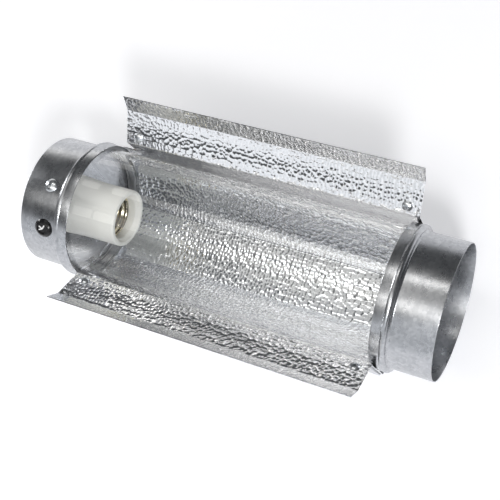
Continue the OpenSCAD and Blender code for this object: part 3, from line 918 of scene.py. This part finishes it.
def make_contact():
    """Plunger with a domed head at the lamp's side and a retaining clip behind the porcelain."""
    low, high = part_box("centre_contact")
    stem_r, head_r = 2.4 * MM, (high.z - low.z) / 2
    head_x = high.x - CONTACT_HEAD_T
    dome_r, ease = 14 * MM, 0.3 * MM
    dome = arc((0, high.x - dome_r), dome_r, math.degrees(math.acos(head_r / dome_r)), 88, 12)
    clip_r, clip_low, clip_high = 4.2 * MM, low.x + 1.2 * MM, low.x + 2.9 * MM
    profile = [(0, low.x), (stem_r - ease, low.x), (stem_r, low.x + ease), (stem_r, clip_low),
               (clip_r, clip_low), (clip_r, clip_high), (stem_r, clip_high), (stem_r, head_x),
               (head_r - ease, head_x), (head_r, head_x + ease)]
    obj = turned("plunger", profile + dome + [(0, high.x)], BRASS, 64, closed=False)
    show(obj, "centre_contact", body="centre_contact")


def make_spring():
    """Helix at its free length between the porcelain well and the plunger's head."""
    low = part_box("contact_spring")[0].x
    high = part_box("centre_contact")[1].x - CONTACT_HEAD_T
    wire_r, coil_r, turns = 0.45 * MM, 4.05 * MM, 6
    start, end = low + wire_r, high - wire_r
    points = []
    closed, open_turns = WHOLE_TURN * 0.75, (turns - 1.5) * WHOLE_TURN
    for a in np.linspace(0, turns * WHOLE_TURN, turns * 20):
        x = start + (end - start) * min(1, max(0, (a - closed) / open_turns))
        points.append((x, coil_r * math.cos(a), AXIS + coil_r * math.sin(a)))
    obj = swept("contact_coil", points, wire_r, SPRING, 10)
    show(obj, "contact_spring")
    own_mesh(obj)


# ---------------------------------------------------------------- grommet
def grommet_outline():
    """Half section of the grommet as (radius, height above the wall), from its foot up to its dish."""
    r = GROMMET_R
    dish_r, dish_floor, crown = 5.0 * MM, 1.5 * MM, GROMMET_CROWN
    below = [(0, -3 * MM), (7.4 * MM, -3 * MM), (8 * MM, -2.5 * MM), (8 * MM, -0.9 * MM),
             (6.4 * MM, -0.85 * MM), (6.4 * MM, 0.05 * MM), (r - 0.3 * MM, 0.05 * MM)]
    rim = [(r - 0.5 * MM + x, 0.75 * MM + y) for x, y in arc((0, 0), 0.5 * MM, -70, 40, 6)]
    dome = [(r - 1.4 * MM, 2.0 * MM), (r - 2.4 * MM, 2.75 * MM), (r - 3.2 * MM, crown - 0.05 * MM),
            (r - 3.6 * MM, crown)]
    dish = [(dish_r + 0.25 * MM, crown - 0.1 * MM), (dish_r, crown - 0.45 * MM),
            (dish_r - 0.2 * MM, dish_floor + 0.3 * MM), (dish_r - 0.7 * MM, dish_floor),
            (dish_r * 0.5, dish_floor + 0.25 * MM), (0, dish_floor + 0.4 * MM)]
    return below + rim + dome + dish


def slit_arms(name, start, end, bottom, top, material=ZINC):
    """One bar along each arm of the grommet's slit."""
    half = 0.55 * MM
    arms = []
    for angle in SLIT_ANGLES:
        arm = box_object(name, (start, -half, bottom), (end, half, top), material)
        arm.data.transform(Matrix.Rotation(math.radians(angle), 4, "Z"))
        arms.append(arm)
    return arms


def make_grommet():
    """Domed rubber grommet that follows the round wall, with a slit membrane in a shallow dish."""
    grommet = local_turned("rubber_grommet", grommet_outline(), BLACK_RUBBER, 96, 50)
    cut(grommet, slit_arms("tool", -0.2 * MM, 4.4 * MM, 0.9 * MM, GROMMET_CROWN), 40)
    # White bars standing in the slit's arms: painted highlights on the slit's edges.
    strokes = slit_arms("edge", 0.1 * MM, 4.3 * MM, 1.2 * MM, 2.4 * MM, SLIT_HIGHLIGHT)
    strokes = joined("painted_slit_highlights", strokes)
    for obj in (grommet, strokes):
        for vertex in obj.data.vertices:
            vertex.co.z -= SPIGOT_R - math.sqrt(SPIGOT_R ** 2 - vertex.co.y ** 2)
        obj.data.transform(wall_place(FITTING_X, GROMMET_ANGLE, SPIGOT_R))
    show(grommet, "cable_grommet")
    show(strokes)


# ---------------------------------------------------------------- rings, straps and small parts
def make_rings():
    """Hanging rings: straight at the clip, round at the far end, each on its own body."""
    wire_r = 1.5 * MM
    half, length, near_r, far_r = 12 * MM, 20 * MM, 4 * MM, 9 * MM
    for name, sign in (("inlet_ring", 1), ("outlet_ring", -1)):
        low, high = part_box(name)
        start = low.x + wire_r if sign > 0 else high.x - wire_r
        outline = arc((near_r, half - near_r), near_r, 180, 90, 8)
        outline += arc((length - far_r, half - far_r), far_r, 90, 0, 14)
        outline += [(x, -y) for x, y in reversed(outline)]
        z = (low.z + high.z) / 2
        points = [(start + sign * x, y, z) for x, y in outline]
        ring = swept(name + "_wire", points, wire_r, STRAP_STEEL, 24, closed=True)
        show(ring, name, body=name.replace("_ring", "_hang_ring"))


def make_plain_parts():
    for node, material, edge in (
        ("inlet_strap", STRAP_STEEL, 0.25 * MM),
        ("outlet_strap", STRAP_STEEL, 0.25 * MM),
        ("holder_bracket", STRAP_STEEL, 0.25 * MM),
        ("ring_clips", STRAP_STEEL, 0.15 * MM),
        ("corner_nuts", ZINC, 0.2 * MM),
        ("bracket_nuts", ZINC, 0.2 * MM),
        ("earth_nut", BRASS, 0.2 * MM),
        ("live_terminal", BRASS, 0.2 * MM),
        ("neutral_terminal", BRASS, 0.2 * MM),
        ("terminal_screws", ZINC, 0.08 * MM),
        ("clip_rivets", ZINC, 0.05 * MM),
    ):
        show(polished(node, material, edge), node)


# ---------------------------------------------------------------- stage
def make_floor():
    mesh = bpy.data.meshes.new("floor")
    size = 4.0
    corners = [(-size, -size, 0), (size, -size, 0), (size, size, 0), (-size, size, 0)]
    mesh.from_pydata(corners, [], [(0, 1, 2, 3)])
    floor = bpy.data.objects.new("floor", mesh)
    bpy.context.scene.collection.objects.link(floor)
    n = Nodes("pale_floor")
    n.link(n.blend(n.noise(3, 2), (0.88, 0.88, 0.90), (0.90, 0.90, 0.92)), n.bsdf.inputs["Base Color"])
    n.shade(Roughness=0.7, Emission_Color=(0.96, 0.97, 1.0, 1), Emission_Strength=0.32)
    mesh.materials.append(n.material)


def soft_box(name, place, aim, size, level, color=(1, 1, 1)):
    """A rectangular light of an even brightness level, with its first side level."""
    data = bpy.data.lights.new(name, "AREA")
    data.shape = "RECTANGLE"
    data.size, data.size_y = size
    data.energy = level * math.pi * size[0] * size[1]
    data.color = color
    lamp = bpy.data.objects.new(name, data)
    bpy.context.scene.collection.objects.link(lamp)
    lamp.location = place
    lamp.rotation_euler = (Vector(aim) - Vector(place)).to_track_quat("-Z", "Y").to_euler()


def make_lights():
    """A dark room over a white floor, with strips of light overhead and a pale wall along the near side."""
    warm, cool = (1.0, 0.98, 0.94), (0.95, 0.97, 1.0)
    overhead = 1.52
    for y, width, level in ((-0.77, 0.28, 0.95), (-0.465, 0.34, 2.4), (0.07, 0.74, 0.5), (0.63, 0.28, 2.9)):
        soft_box("strip", (-0.10, y, overhead), (-0.10, 0, AXIS), (1.1, width), level, warm)
    soft_box("strip_end", (-1.15, -0.42, overhead), (-1.15, 0, AXIS), (1.0, 0.60), 0.8, warm)
    soft_box("near_wall", (0.6, -1.5, 1.0), (0.6, 0, 0.9), (1.9, 2.0), 0.76, cool)
    soft_box("near_low_wall", (-0.85, -1.5, 0.62), (-0.85, 0, 0.60), (1.0, 1.24), 0.92, cool)
    soft_box("near_end", (-2.35, -1.5, 0.5), (-2.35, 0, 0.4), (2.0, 1.0), 0.75, cool)
    soft_box("far_wall", (-1.5, 1.5, 0.19), (-1.5, 0, 0.18), (2.2, 0.38), 1.45, warm)
    soft_box("key", (-2.4, 0.45, 0.75), (0, 0, AXIS), (0.35, 0.35), 56)
    soft_box("near_fill", (1.0, -0.9, 1.6), (0, 0, AXIS), (0.4, 0.4), 36)


def make_room():
    """Pale to the camera, and nearly dark to everything else."""
    room_glow, backdrop = 0.09, 0.85
    world = bpy.data.worlds.new("studio")
    bpy.context.scene.world = world
    world.use_nodes = True
    tree = world.node_tree
    background = tree.nodes["Background"]
    background.inputs["Color"].default_value = (0.92, 0.96, 1.0, 1)
    seen = tree.nodes.new("ShaderNodeMapRange")
    seen.inputs["To Min"].default_value = room_glow
    seen.inputs["To Max"].default_value = backdrop
    tree.links.new(tree.nodes.new("ShaderNodeLightPath").outputs["Is Camera Ray"], seen.inputs["Value"])
    tree.links.new(seen.outputs["Result"], background.inputs["Strength"])
    bpy.context.scene.view_settings.view_transform = "Standard"


def make_camera():
    data = bpy.data.cameras.new("view")
    data.sensor_width = 36
    data.lens = 72
    camera = bpy.data.objects.new("view", data)
    bpy.context.scene.collection.objects.link(camera)
    camera.location = (0.3342, -0.1392, AXIS + 0.8524)
    camera.rotation_euler = [math.radians(a) for a in (15.43, 16.86, 20.02)]
    bpy.context.scene.camera = camera


make_camera()
make_flanges()
make_glass()
make_seals()
make_reflector()
make_screws()
make_lampholder()
make_screw_shell()
make_contact()
make_spring()
make_grommet()
make_rings()
make_plain_parts()
make_floor()
make_lights()
make_room()
